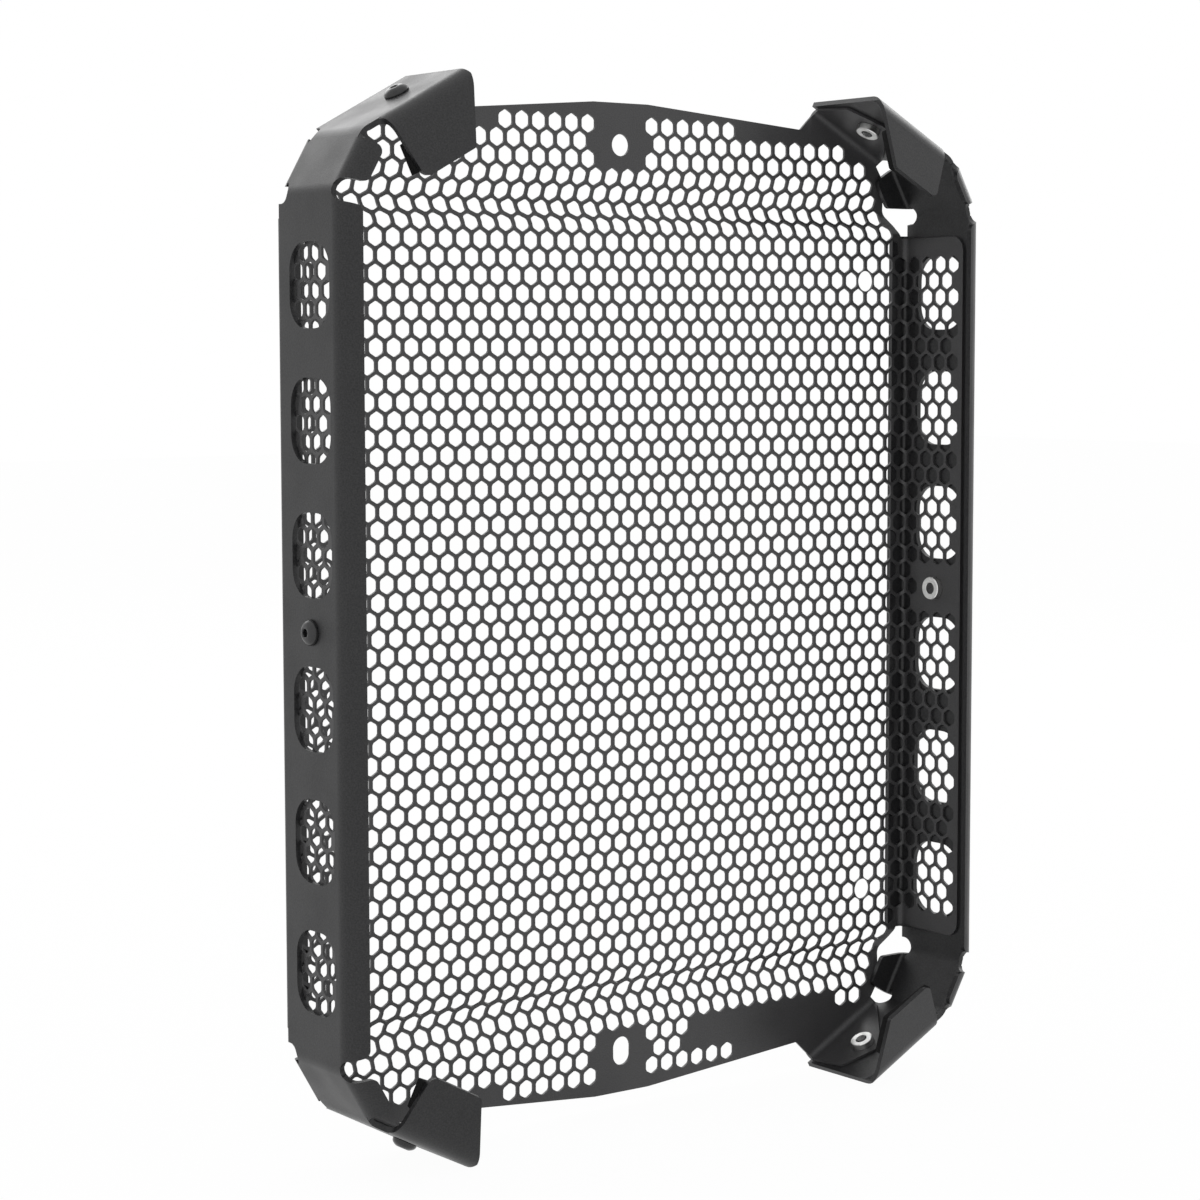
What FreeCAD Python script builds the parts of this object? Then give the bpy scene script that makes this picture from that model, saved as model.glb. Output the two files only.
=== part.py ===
# Radiator guard for a motorcycle: a perforated, folded panel held in two folded side frames
# by six button head screws in clinch nuts. Millimetres. X is the width, +Z is up and -Y is the
# open front. The origin is the middle of the panel, half way through its sheet.
import FreeCAD
import Part

import math
import os

from FreeCAD import Vector

# Frame outline, one side, measured on the outer face
FRAME_HALF_WIDTH = 154.0      # middle of the guard to the outer face of a side wall
SIDE_HALF_HEIGHT = 156.8      # middle of the guard to the first corner
LOWER_CHAMFER_ANGLE = 30.0    # first chamfer, from upright
LOWER_CHAMFER_LENGTH = 24.2
UPPER_CHAMFER_ANGLE = 61.7    # second chamfer, from upright
UPPER_CHAMFER_LENGTH = 48.2
FRAME_SHEET = 2.0
CORNER_BEND = 6.0             # inner radius of the bends between the strips
WALL_DEPTH = 35.5             # back edge to the start of the lips

# Lips along the front of the frame
LIP_BEND = 6.5                # inner radius
LIP_ANGLE = 76.0
SIDE_LIP_FLAT = 1.3           # beyond the bend, on the side and the first chamfer
CORNER_LIP_FLAT = 18.5        # beyond the bend, on the second chamfer
CORNER_LIP_SLOPE = 34.0       # slant of the inner end, from square
CORNER_LIP_SQUARE = 2.0       # stays square up to this far in
LIP_CORNER_RADIUS = 3.0
CORNER_LIP_RADIUS = 3.2       # beside the relief
CORNER_LIP_TIP_RADIUS = 1.5   # at the slanted end

# Bend reliefs at the frame's corners
RELIEF_RADIUS = 4.2           # front slots between two lips, at the lower corner
RELIEF_BEFORE = 3.7           # the wider relief at the upper corner: from the corner to the
RELIEF_AFTER = 8.7            # lip before it, and to the lip after it
RELIEF_RISE = 1.4             # its floor, in front of the start of the lips
RELIEF_ROUND = 3.0            # its inner corners
NOTCH_RADIUS = 4.2            # notches in the back edge
NOTCH_DEPTH = 5.8

# Tab on the back of the first chamfer
BACK_TAB_REACH = 12.0
BACK_TAB_RISE = 1.8           # its level lower edge, above the frame's lower corner
BACK_TAB_INSET = 2.4          # its upper edge, from the upper corner
BACK_TAB_BEND = 1.5
BACK_TAB_RADIUS = 2.5

# Flange behind the panel, along the side
BACK_FLANGE_REACH = 9.5       # from the outer face of the wall
BACK_FLANGE_BEND = 1.5
BACK_FLANGE_RADIUS = 3.0
BACK_FLANGE_CLEARANCE = 0.5    # short of the panel's crease

# Windows in the side wall
WINDOW_WIDTH = 26.8
WINDOW_HEIGHT = 30.5
WINDOW_RADIUS = 10.0
WINDOW_PITCH = 47.9
WINDOW_FIRST = 27.6           # centre of the window nearest to the middle
WINDOW_SETBACK = 20.3         # centre of the windows, from the back edge
WINDOWS_EACH_WAY = 3

# Perforated panel
MESH_SHEET = 1.0
MESH_BEND = 2.5               # inner radius of the side folds
SIDE_FLANGE_DEPTH = 35.0      # mid-plane of the panel to the front edge of a flange
SIDE_FLANGE_HALF = 146.5
SIDE_FLANGE_RADIUS = 6.0
TOP_EDGE_MIDDLE = 195.6
TOP_EDGE_FLAT = 13.3          # half width of the level part of the top edge
TOP_EDGE_DROP = 6.4           # how much lower the top edge is beside the corner tab
TAB_STEP = 6.2                # sideways step from there to the fold of the corner tab
SIDE_STEP = 2.6
SIDE_STEP_HEIGHT = 4.8
CHAMFER_GAP_LOW = 10.9        # panel edge to the first chamfer's outer face, lower end
CHAMFER_GAP_HIGH = 7.5        # the same, upper end
CREASE_START = 147.8          # stiffening crease, above and below the mesh field
CREASE_RIDGE = 155.6
CREASE_END = 167.8
CREASE_DEPTH = 4.7

# Corner tab of the panel, against the second chamfer
TAB_START = 6.0               # along the chamfer, from its lower corner
TAB_LENGTH = 40.5
TAB_DEPTH = 27.3              # mid-plane of the panel to the tip
TAB_TIP_START = 22.5          # the tip starts this far along the tab
TAB_END_INSET = 2.0
TAB_TIP_RADIUS = 9.0

# Perforation, drawn at a wide pitch with the real share of open area
HOLE_PITCH = 26.0
HOLE_ACROSS = 21.3            # across the flats
FIELD_MARGIN = 4.0            # sheet left solid along every edge
FLANGE_MARGIN = 1.0
FOLD_MARGIN = 1.5
BOSS_RADIUS = 11.0            # sheet left solid round the middle mounting holes
PAD_RADIUS = 6.5              # the same round the outer mounting holes

# Mounting holes
MOUNT_HOLE = 8.5
MOUNT_SPACING_X = 257.4
MOUNT_SPACING_Z = 256.6
TOP_HOLE_HEIGHT = 179.4
SLOT_HEIGHT = 179.0
SLOT_LENGTH = 11.5

# Screws and clinch nuts
THREAD = 5.0
THREAD_CLEARANCE = 0.05       # radial, screw in nut
CLEARANCE_HOLE = 5.5
HEAD_DIAMETER = 9.5
HEAD_HEIGHT = 2.75
HEAD_FLAT = 4.4               # diameter of the level top round the socket
SOCKET_ACROSS = 3.0
SOCKET_DEPTH = 1.6
SCREW_LENGTH = 6.0
NUT_DIAMETER = 9.5
NUT_HEIGHT = 2.7
NUT_PILOT = 6.4
NUT_PILOT_CLEARANCE = 0.05
SIDE_SCREW_SETBACK = 19.25    # from the frame's back edge
CORNER_SCREW_SETBACK = 18.0
CORNER_SCREW_ALONG = 30.5     # along the second chamfer, from its lower corner

BACK = -MESH_SHEET / 2        # the frame's back edge is level with the panel's front face
FRONT = BACK - WALL_DEPTH
FLANGE_OUTER = FRAME_HALF_WIDTH - FRAME_SHEET
FOLD_OUTER = MESH_BEND + MESH_SHEET


class Strip:
    """One straight strip of the right frame: where it starts, and which way it runs."""

    def __init__(self, start, angle, length):
        turn = math.radians(angle)
        self.start = start
        self.length = length
        self.along = Vector(-math.sin(turn), 0, math.cos(turn))
        self.inward = Vector(-math.cos(turn), 0, -math.sin(turn))

    def at(self, along, inward, y):
        return self.start + self.along * along + self.inward * inward + Vector(0, y, 0)


side = Strip(Vector(FRAME_HALF_WIDTH, 0, 0), 0.0, SIDE_HALF_HEIGHT)
lower_corner = side.at(side.length, 0, 0)
lower_chamfer = Strip(lower_corner, LOWER_CHAMFER_ANGLE, LOWER_CHAMFER_LENGTH)
upper_corner = lower_chamfer.at(lower_chamfer.length, 0, 0)
upper_chamfer = Strip(upper_corner, UPPER_CHAMFER_ANGLE, UPPER_CHAMFER_LENGTH)
frame_end = upper_chamfer.at(upper_chamfer.length, 0, 0)

LOWER_BISECTOR = (side.inward + lower_chamfer.inward).normalize()
UPPER_BISECTOR = (lower_chamfer.inward + upper_chamfer.inward).normalize()


def mirrored_z(shape):
    return shape.mirror(Vector(0, 0, 0), Vector(0, 0, 1))


def mirrored_x(shape):
    return shape.mirror(Vector(0, 0, 0), Vector(1, 0, 0))


def both_ends(shape):
    return [shape, mirrored_z(shape)]


def prism(points, push):
    """A closed outline pushed straight along a vector."""
    outline = Part.makePolygon(points + [points[0]])
    return Part.Face(outline).extrude(push)


def beside(points, normal, shift):
    """An open line of points moved sideways by shift, with mitred corners."""
    sides = [(last - first).cross(normal).normalize() for first, last in zip(points, points[1:])]
    moved = [points[0] + sides[0] * shift]
    for point, one, other in zip(points[1:], sides, sides[1:]):
        moved.append(point + (one + other) * (shift / (1 + one.dot(other))))
    moved.append(points[-1] + sides[-1] * shift)
    return moved


def section(edges, push):
    return Part.Face(Part.Wire(edges)).extrude(push)


def line(first, last):
    return Part.makeLine(first, last)


def arc(first, middle, last):
    return Part.Arc(first, middle, last).toShape()


def rounding(corner, one, other, radius, through):
    """The waste that rounds a sheet's corner. one and other run along its two edges."""
    one = Vector(one).normalize()
    other = Vector(other).normalize()
    half = one.getAngle(other) / 2
    middle = (one + other).normalize()
    reach = radius / math.tan(half)
    centre = corner + middle * (radius / math.sin(half))
    spare = 1.0
    beside_one = (one * one.dot(other) - other).normalize()
    beside_other = (other * one.dot(other) - one).normalize()
    first = corner + one * reach
    last = corner + other * reach
    outer = corner - middle * (spare / math.sin(half))
    edges = [
        arc(first, centre - middle * radius, last),
        line(last, last + beside_other * spare),
        line(last + beside_other * spare, outer),
        line(outer, first + beside_one * spare),
        line(first + beside_one * spare, first),
    ]
    waste = section(edges, through * 2)
    waste.translate(through * -1)
    return waste


def round_slot(corner, inward, width_radius, bottom, away, reach):
    """A round-bottomed slot cut through the sheet at a corner, running towards away (a Y value)."""
    start = corner + inward * -6 + Vector(0, bottom, 0)
    barrel = Part.makeCylinder(width_radius, reach, start, inward)
    across = inward.cross(Vector(0, 1, 0)).normalize() * width_radius
    run = Vector(0, away - bottom, 0)
    channel = prism([start - across, start + across, start + across + run, start - across + run],
                    inward * reach)
    return barrel.fuse(channel)


# Frame

def frame_wall(back, front):
    """The band of sheet round the outside, with its four bends."""
    upper = [lower_corner, upper_corner, frame_end]
    outer = [Vector(p.x, 0, -p.z) for p in upper[::-1]] + upper
    inner = beside(outer, Vector(0, 1, 0), FRAME_SHEET)
    wall = prism(outer + inner[::-1], Vector(0, front - back, 0))
    wall.translate(Vector(0, back, 0))

    def upright_edges(places):
        found = []
        for edge in wall.Edges:
            first = edge.Vertexes[0].Point
            last = edge.Vertexes[-1].Point
            if math.hypot(first.x - last.x, first.z - last.z) > 1e-6:
                continue
            if any(math.hypot(first.x - p.x, first.z - p.z) < 1e-6 for p in places):
                found.append(edge)
        return found

    wall = wall.makeFillet(CORNER_BEND + FRAME_SHEET, upright_edges(outer[1:-1]))
    return wall.makeFillet(CORNER_BEND, upright_edges(inner[1:-1]))


def lip(strip, start, end, flat):
    """Bend and flat of one lip, pushed along its strip."""
    turn = math.radians(LIP_ANGLE)
    outer = LIP_BEND + FRAME_SHEET

    def on_bend(radius, angle):
        return strip.at(start, outer - radius * math.cos(angle), FRONT - radius * math.sin(angle))

    ahead = strip.inward * math.sin(turn) - Vector(0, math.cos(turn), 0)
    outer_end = on_bend(outer, turn)
    inner_end = on_bend(LIP_BEND, turn)
    edges = [
        arc(on_bend(outer, 0), on_bend(outer, turn / 2), outer_end),
        line(outer_end, outer_end + ahead * flat),
        line(outer_end + ahead * flat, inner_end + ahead * flat),
        line(inner_end + ahead * flat, inner_end),
        arc(inner_end, on_bend(LIP_BEND, turn / 2), on_bend(LIP_BEND, 0)),
        line(on_bend(LIP_BEND, 0), on_bend(outer, 0)),
    ]
    return section(edges, strip.along * (end - start))


def lip_reach(flat):
    turn = math.radians(LIP_ANGLE)
    return (LIP_BEND + FRAME_SHEET) * (1 - math.cos(turn)) + flat * math.sin(turn)


def relief_edge(strip, bisector, corner, reach, sign):
    """Where a relief's straight side meets a lip's tip, and the way along that side."""
    outward = bisector.cross(Vector(0, 1, 0))
    if outward.dot(strip.along) * sign < 0:
        outward = outward * -1
    base = corner + outward * RELIEF_RADIUS
    depth = (reach - (base - strip.start).dot(strip.inward)) / bisector.dot(strip.inward)
    return base + bisector * depth


def back_tab():
    """The tab folded in from the back edge of the first chamfer."""
    outer = BACK_TAB_BEND + FRAME_SHEET
    half = outer * (1 - math.sqrt(0.5))
    inner_half = outer - BACK_TAB_BEND * math.sqrt(0.5)
    start = BACK_TAB_RISE / lower_chamfer.along.z
    end = lower_chamfer.length - BACK_TAB_INSET
    top = BACK - outer
    front = BACK - FRAME_SHEET

    def spot(inward, y):
        return lower_chamfer.at(start, inward, y)

    edges = [
        arc(spot(0, top), spot(half, BACK - half), spot(outer, BACK)),
        line(spot(outer, BACK), spot(BACK_TAB_REACH, BACK)),
        line(spot(BACK_TAB_REACH, BACK), spot(BACK_TAB_REACH, front)),
        line(spot(BACK_TAB_REACH, front), spot(outer, front)),
        arc(spot(outer, front), spot(inner_half, BACK - inner_half), spot(FRAME_SHEET, top)),
        line(spot(FRAME_SHEET, top), spot(0, top)),
    ]
    tab = section(edges, lower_chamfer.along * (end - start))
    through = Vector(0, FRAME_SHEET * 4, 0)
    level = lower_corner.z + BACK_TAB_RISE
    below = Part.makeBox(60, 20, 40, Vector(FRAME_HALF_WIDTH - 50, -15, level - 40))
    level_run = (BACK_TAB_RISE - BACK_TAB_REACH * lower_chamfer.inward.z) / lower_chamfer.along.z
    low_corner = lower_chamfer.at(level_run, BACK_TAB_REACH, BACK)
    high_corner = lower_chamfer.at(end, BACK_TAB_REACH, BACK)
    outward = lower_chamfer.inward * -1
    tab = tab.cut([below,
                   rounding(low_corner, lower_chamfer.along, Vector(1, 0, 0), BACK_TAB_RADIUS,
                            through),
                   rounding(high_corner, lower_chamfer.along * -1, outward, BACK_TAB_RADIUS,
                            through)])
    room = prism([lower_chamfer.at(start, -4, top), lower_chamfer.at(end, -4, top),
                  lower_chamfer.at(end, outer, top), lower_chamfer.at(start, outer, top)],
                 Vector(0, BACK - top + 2, 0))
    return tab, room


def back_flange():
    """The flange behind the panel, folded in from the back edge of the side."""
    outer = BACK_FLANGE_BEND + FRAME_SHEET
    front = MESH_SHEET / 2
    centre_x = FRAME_HALF_WIDTH - outer
    centre_y = front - BACK_FLANGE_BEND
    turn = math.sqrt(0.5)
    half_length = CREASE_START - BACK_FLANGE_CLEARANCE

    def bend(radius):
        return arc(Vector(centre_x + radius, centre_y, 0),
                   Vector(centre_x + radius * turn, centre_y + radius * turn, 0),
                   Vector(centre_x, centre_y + radius, 0))

    def spot(inward, y):
        return side.at(0, inward, y)

    edges = [
        bend(outer),
        line(spot(outer, front + FRAME_SHEET), spot(BACK_FLANGE_REACH, front + FRAME_SHEET)),
        line(spot(BACK_FLANGE_REACH, front + FRAME_SHEET), spot(BACK_FLANGE_REACH, front)),
        line(spot(BACK_FLANGE_REACH, front), spot(outer, front)),
        bend(BACK_FLANGE_BEND),
        line(spot(FRAME_SHEET, centre_y), spot(FRAME_SHEET, -WALL_DEPTH / 2)),
        line(spot(FRAME_SHEET, -WALL_DEPTH / 2), spot(0, -WALL_DEPTH / 2)),
        line(spot(0, -WALL_DEPTH / 2), spot(0, centre_y)),
    ]
    flange = section(edges, Vector(0, 0, 2 * half_length))
    flange.translate(Vector(0, 0, -half_length))
    waste = rounding(side.at(half_length, BACK_FLANGE_REACH, front), Vector(0, 0, -1),
                     Vector(1, 0, 0), BACK_FLANGE_RADIUS, Vector(0, FRAME_SHEET * 2, 0))
    room = Part.makeBox(outer + 1, BACK - centre_y + 2, 2 * half_length,
                        Vector(centre_x, centre_y, -half_length))
    return flange.cut(both_ends(waste)), room


def upper_relief(inward_reach, floor, ahead):
    """The room between the lips at an upper corner, square to both chamfers."""
    before = lower_chamfer.length - RELIEF_BEFORE
    points = [lower_chamfer.at(before, -6, floor), lower_chamfer.at(before, inward_reach, floor),
              upper_chamfer.at(RELIEF_AFTER, inward_reach, floor),
              upper_chamfer.at(RELIEF_AFTER, -6, floor)]
    return prism(points, Vector(0, ahead - floor, 0))


def upper_relief_cut():
    """The same with its floor's two corners rounded, to cut with."""
    floor = FRONT - RELIEF_RISE
    room = upper_relief(9.0, floor, -90)
    edges = []
    for edge in room.Edges:
        first = edge.Vertexes[0].Point
        last = edge.Vertexes[-1].Point
        level = abs(first.y - floor) < 1e-6 and abs(last.y - floor) < 1e-6
        run = (last - first).normalize()
        square = [abs(run.dot(strip.inward)) > 1 - 1e-6 for strip in (lower_chamfer, upper_chamfer)]
        if level and any(square):
            edges.append(edge)
    return room.makeFillet(RELIEF_ROUND, edges)


def side_windows():
    """Windows with round corners, cut through the side wall only."""
    cuts = []
    for number in range(WINDOWS_EACH_WAY):
        for sign in (1, -1):
            height = sign * (WINDOW_FIRST + number * WINDOW_PITCH)
            corner = Vector(FRAME_HALF_WIDTH - 2 * FRAME_SHEET,
                            BACK - WINDOW_SETBACK - WINDOW_WIDTH / 2, height - WINDOW_HEIGHT / 2)
            block = Part.makeBox(FRAME_SHEET * 4, WINDOW_WIDTH, WINDOW_HEIGHT, corner)
            edges = [e for e in block.Edges if abs(e.tangentAt(0).x) > 0.99]
            cuts.append(block.makeFillet(WINDOW_RADIUS, edges))
    return cuts


def screw_places():
    """Outer-face point and inward axis of each screw on the right frame."""
    return {
        "top": (upper_chamfer.at(CORNER_SCREW_ALONG, 0, BACK - CORNER_SCREW_SETBACK),
                upper_chamfer.inward),
        "middle": (side.at(0, 0, BACK - SIDE_SCREW_SETBACK), side.inward),
    }


def right_frame():
    bend_run = (CORNER_BEND + FRAME_SHEET) * math.tan(math.radians(LOWER_CHAMFER_ANGLE / 2))
    bend_run_2 = (CORNER_BEND + FRAME_SHEET) * math.tan(
        math.radians((UPPER_CHAMFER_ANGLE - LOWER_CHAMFER_ANGLE) / 2))
    side_reach = lip_reach(SIDE_LIP_FLAT)
    corner_reach = lip_reach(CORNER_LIP_FLAT)
    through = Vector(0, 40, 0)

    side_lip = lip(side, bend_run - side.length, side.length - bend_run, SIDE_LIP_FLAT)
    chamfer_lip = lip(lower_chamfer, bend_run, lower_chamfer.length - bend_run_2, SIDE_LIP_FLAT)
    corner_lip = lip(upper_chamfer, bend_run_2, upper_chamfer.length, CORNER_LIP_FLAT)

    slope = math.radians(CORNER_LIP_SLOPE)
    slant = upper_chamfer.inward * math.cos(slope) - upper_chamfer.along * math.sin(slope)
    square_end = upper_chamfer.at(upper_chamfer.length, CORNER_LIP_SQUARE, -80)
    waste = prism([square_end, square_end + slant * 50,
                   square_end + slant * 50 + upper_chamfer.along * 60,
                   square_end + upper_chamfer.along * 60], Vector(0, 79, 0))
    corner_lip = corner_lip.cut(waste)
    beyond = Vector(0, -80, 0)
    lip_start = upper_chamfer.at(RELIEF_AFTER, -6, 0) + beyond
    corner_lip = corner_lip.cut(prism(
        [lip_start, lip_start + upper_chamfer.inward * 60,
         lip_start + upper_chamfer.inward * 60 - upper_chamfer.along * 40,
         lip_start - upper_chamfer.along * 40],
        Vector(0, FRONT - RELIEF_RISE - RELIEF_ROUND + 80, 0)))
    level = Vector(0, FRONT - LIP_BEND, 0)
    tip = square_end + slant * ((corner_reach - CORNER_LIP_SQUARE) / math.cos(slope))
    tip = Vector(tip.x, 0, tip.z) + level
    corner_lip = corner_lip.cut(rounding(tip, slant * -1, upper_chamfer.along * -1,
                                         CORNER_LIP_TIP_RADIUS, through))

    lower_out = relief_edge(lower_chamfer, LOWER_BISECTOR, lower_corner, side_reach, 1) + level
    side_out = relief_edge(side, LOWER_BISECTOR, lower_corner, side_reach, -1) + level
    upper_out = upper_chamfer.at(RELIEF_AFTER, corner_reach, 0) + level
    chamfer_out = lower_chamfer.at(lower_chamfer.length - RELIEF_BEFORE, side_reach, 0) + level
    lower_side = LOWER_BISECTOR * -1
    side_waste = rounding(side_out, lower_side, side.along * -1, LIP_CORNER_RADIUS, through)
    side_lip = side_lip.cut([side_waste, mirrored_z(side_waste)])
    chamfer_lip = chamfer_lip.cut([
        rounding(lower_out, lower_side, lower_chamfer.along, LIP_CORNER_RADIUS, through),
        rounding(chamfer_out, lower_chamfer.inward * -1, lower_chamfer.along * -1,
                 LIP_CORNER_RADIUS, through)])
    corner_lip = corner_lip.cut(rounding(upper_out, upper_chamfer.inward * -1,
                                         upper_chamfer.along, CORNER_LIP_RADIUS, through))

    cuts = []
    reach = corner_reach + 30
    relief_bottom = FRONT - RELIEF_RADIUS + 0.1
    notch_bottom = BACK - NOTCH_DEPTH + NOTCH_RADIUS
    cuts += both_ends(round_slot(lower_corner, LOWER_BISECTOR, RELIEF_RADIUS, relief_bottom,
                                 -90, reach))
    cuts += both_ends(upper_relief_cut())
    for corner, bisector in ((lower_corner, LOWER_BISECTOR), (upper_corner, UPPER_BISECTOR)):
        cuts += both_ends(round_slot(corner, bisector, NOTCH_RADIUS, notch_bottom, 8, 14))
    cuts += side_windows()
    for name, (place, axis) in screw_places().items():
        hole = Part.makeCylinder(CLEARANCE_HOLE / 2, FRAME_SHEET * 4,
                                 place - axis * FRAME_SHEET, axis)
        cuts += both_ends(hole) if name == "top" else [hole]
    tab, room = back_tab()

    flange, flange_room = back_flange()
    wall = frame_wall(BACK, FRONT).cut(both_ends(room) + [flange_room])
    collar = upper_relief(FRAME_SHEET + 2, FRONT - RELIEF_RISE, FRONT)
    collar = Part.makeCompound(both_ends(collar)).common(frame_wall(FRONT, FRONT - RELIEF_RISE))
    lips = [side_lip] + both_ends(chamfer_lip) + both_ends(corner_lip)
    body = wall.fuse(lips + [collar, flange]).cut(cuts)
    return body.fuse(both_ends(tab)).removeSplitter()


# Perforated panel

def panel_outline():
    """Right half of the flat panel's edge, from the top middle to the side fold."""
    fold = FRAME_SHEET + FOLD_OUTER
    tab_end = upper_chamfer.at(TAB_START + TAB_LENGTH, fold, 0)
    tab_foot = upper_chamfer.at(TAB_START, fold, 0)
    fold_x = FLANGE_OUTER - FOLD_OUTER
    return [
        Vector(TOP_EDGE_FLAT, 0, TOP_EDGE_MIDDLE),
        Vector(tab_end.x - TAB_STEP, 0, TOP_EDGE_MIDDLE - TOP_EDGE_DROP),
        tab_end,
        tab_foot,
        lower_chamfer.at(lower_chamfer.length - 4, CHAMFER_GAP_HIGH, 0),
        lower_chamfer.at(lower_chamfer.length * 0.28, CHAMFER_GAP_LOW, 0),
        Vector(fold_x - SIDE_STEP, 0, SIDE_FLANGE_HALF + SIDE_STEP_HEIGHT),
        Vector(fold_x, 0, SIDE_FLANGE_HALF),
    ]


def full_outline():
    quarter = panel_outline()
    lower = [Vector(p.x, 0, -p.z) for p in quarter[::-1]]
    right = quarter + lower
    left = [Vector(-p.x, 0, p.z) for p in right[::-1]]
    return right + left


def creased_sheet():
    """The panel's sheet with its two creases, pushed across the whole width."""
    upper = [(0, CREASE_START), (CREASE_DEPTH, CREASE_RIDGE), (0, CREASE_END),
             (0, TOP_EDGE_MIDDLE + 10)]
    middle = [Vector(-FRAME_HALF_WIDTH, y, -z) for y, z in upper[::-1]]
    middle += [Vector(-FRAME_HALF_WIDTH, y, z) for y, z in upper]
    across = Vector(1, 0, 0)
    front = beside(middle, across, -MESH_SHEET / 2)
    back = beside(middle, across, MESH_SHEET / 2)
    return prism(front + back[::-1], across * (2 * FRAME_HALF_WIDTH))


def side_flange():
    """The right side fold of the panel, with its flange."""
    half = MESH_SHEET / 2
    fold_x = FLANGE_OUTER - FOLD_OUTER
    centre_y = -half - MESH_BEND
    turn = math.sqrt(0.5)

    def bend(radius):
        return arc(Vector(fold_x, centre_y + radius, 0),
                   Vector(fold_x + radius * turn, centre_y + radius * turn, 0),
                   Vector(fold_x + radius, centre_y, 0))

    inner_x = FLANGE_OUTER - MESH_SHEET
    edges = [
        bend(FOLD_OUTER),
        line(Vector(FLANGE_OUTER, centre_y, 0), Vector(FLANGE_OUTER, -SIDE_FLANGE_DEPTH, 0)),
        line(Vector(FLANGE_OUTER, -SIDE_FLANGE_DEPTH, 0), Vector(inner_x, -SIDE_FLANGE_DEPTH, 0)),
        line(Vector(inner_x, -SIDE_FLANGE_DEPTH, 0), Vector(inner_x, centre_y, 0)),
        bend(MESH_BEND),
        line(Vector(fold_x, -half, 0), Vector(fold_x, half, 0)),
    ]
    flange = section(edges, Vector(0, 0, 2 * SIDE_FLANGE_HALF))
    flange.translate(Vector(0, 0, -SIDE_FLANGE_HALF))
    waste = rounding(Vector(FLANGE_OUTER, -SIDE_FLANGE_DEPTH, SIDE_FLANGE_HALF),
                     Vector(0, 0, -1), Vector(0, 1, 0), SIDE_FLANGE_RADIUS,
                     Vector(MESH_SHEET * 4, 0, 0))
    return flange.cut(both_ends(waste))


def corner_tab():
    """The right top tab of the panel, which lies against the second chamfer."""
    half = MESH_SHEET / 2
    fold = FRAME_SHEET + FOLD_OUTER
    centre_y = -half - MESH_BEND
    turn = math.sqrt(0.5)
    start = TAB_START

    def spot(inward, y):
        return upper_chamfer.at(start, inward, y)

    def bend(radius):
        return arc(spot(fold, centre_y + radius),
                   spot(fold - radius * turn, centre_y + radius * turn),
                   spot(fold - radius, centre_y))

    outer = FRAME_SHEET
    inner = FRAME_SHEET + MESH_SHEET
    edges = [
        bend(FOLD_OUTER),
        line(spot(outer, centre_y), spot(outer, -TAB_DEPTH)),
        line(spot(outer, -TAB_DEPTH), spot(inner, -TAB_DEPTH)),
        line(spot(inner, -TAB_DEPTH), spot(inner, centre_y)),
        bend(MESH_BEND),
        line(spot(fold, -half), spot(fold, half)),
    ]
    tab = section(edges, upper_chamfer.along * TAB_LENGTH)
    through = upper_chamfer.inward * (MESH_SHEET * 4)
    foot = upper_chamfer.at(start, 0, centre_y)
    tip = upper_chamfer.at(start + TAB_TIP_START, 0, -TAB_DEPTH)
    end_foot = upper_chamfer.at(start + TAB_LENGTH, 0, centre_y)
    end_tip = upper_chamfer.at(start + TAB_LENGTH - TAB_END_INSET, 0, -TAB_DEPTH)
    rise = (tip - foot).normalize()
    end_rise = (end_tip - end_foot).normalize()
    along = upper_chamfer.along
    across = upper_chamfer.inward * 12
    low_side = prism([foot, tip + rise * 5, tip + rise * 5 - along * 60, foot - along * 60], across)
    high_side = prism([end_foot, end_tip + end_rise * 5, end_tip + end_rise * 5 + along * 30,
                       end_foot + along * 30], across)
    low_round = rounding(tip, rise * -1, along, 2 * LIP_CORNER_RADIUS, through)
    high_round = rounding(end_tip, end_rise * -1, along * -1, TAB_TIP_RADIUS, through)
    return tab.cut([low_side, high_side, low_round, high_round])


def hexagon(centre, right, up, across, push):
    """A hole cutter: a hexagon that stands on a point."""
    reach = across / math.sqrt(3)
    points = []
    for number in range(6):
        angle = math.radians(30 + 60 * number)
        points.append(centre + right * (reach * math.cos(angle)) + up * (reach * math.sin(angle)))
    return prism(points, push)


def inside(x, z, outline, margin):
    """Whether a point of the panel lies inside its outline, at least margin from every edge."""
    crossings = 0
    for first, last in zip(outline, outline[1:] + outline[:1]):
        run_x = last.x - first.x
        run_z = last.z - first.z
        share = ((x - first.x) * run_x + (z - first.z) * run_z) / (run_x ** 2 + run_z ** 2)
        share = min(1.0, max(0.0, share))
        if math.hypot(x - first.x - share * run_x, z - first.z - share * run_z) < margin:
            return False
        if (first.z > z) != (last.z > z) and x < first.x + (z - first.z) / run_z * run_x:
            crossings += 1
    return crossings % 2 == 1


def lattice_rows():
    """Numbers and heights of the rows of holes, half a row either side of the middle."""
    rise = HOLE_PITCH * math.sqrt(0.75)
    count = int(TOP_EDGE_MIDDLE / rise) + 1
    return [(row, (row + 0.5) * rise) for row in range(-count, count)]


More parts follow.
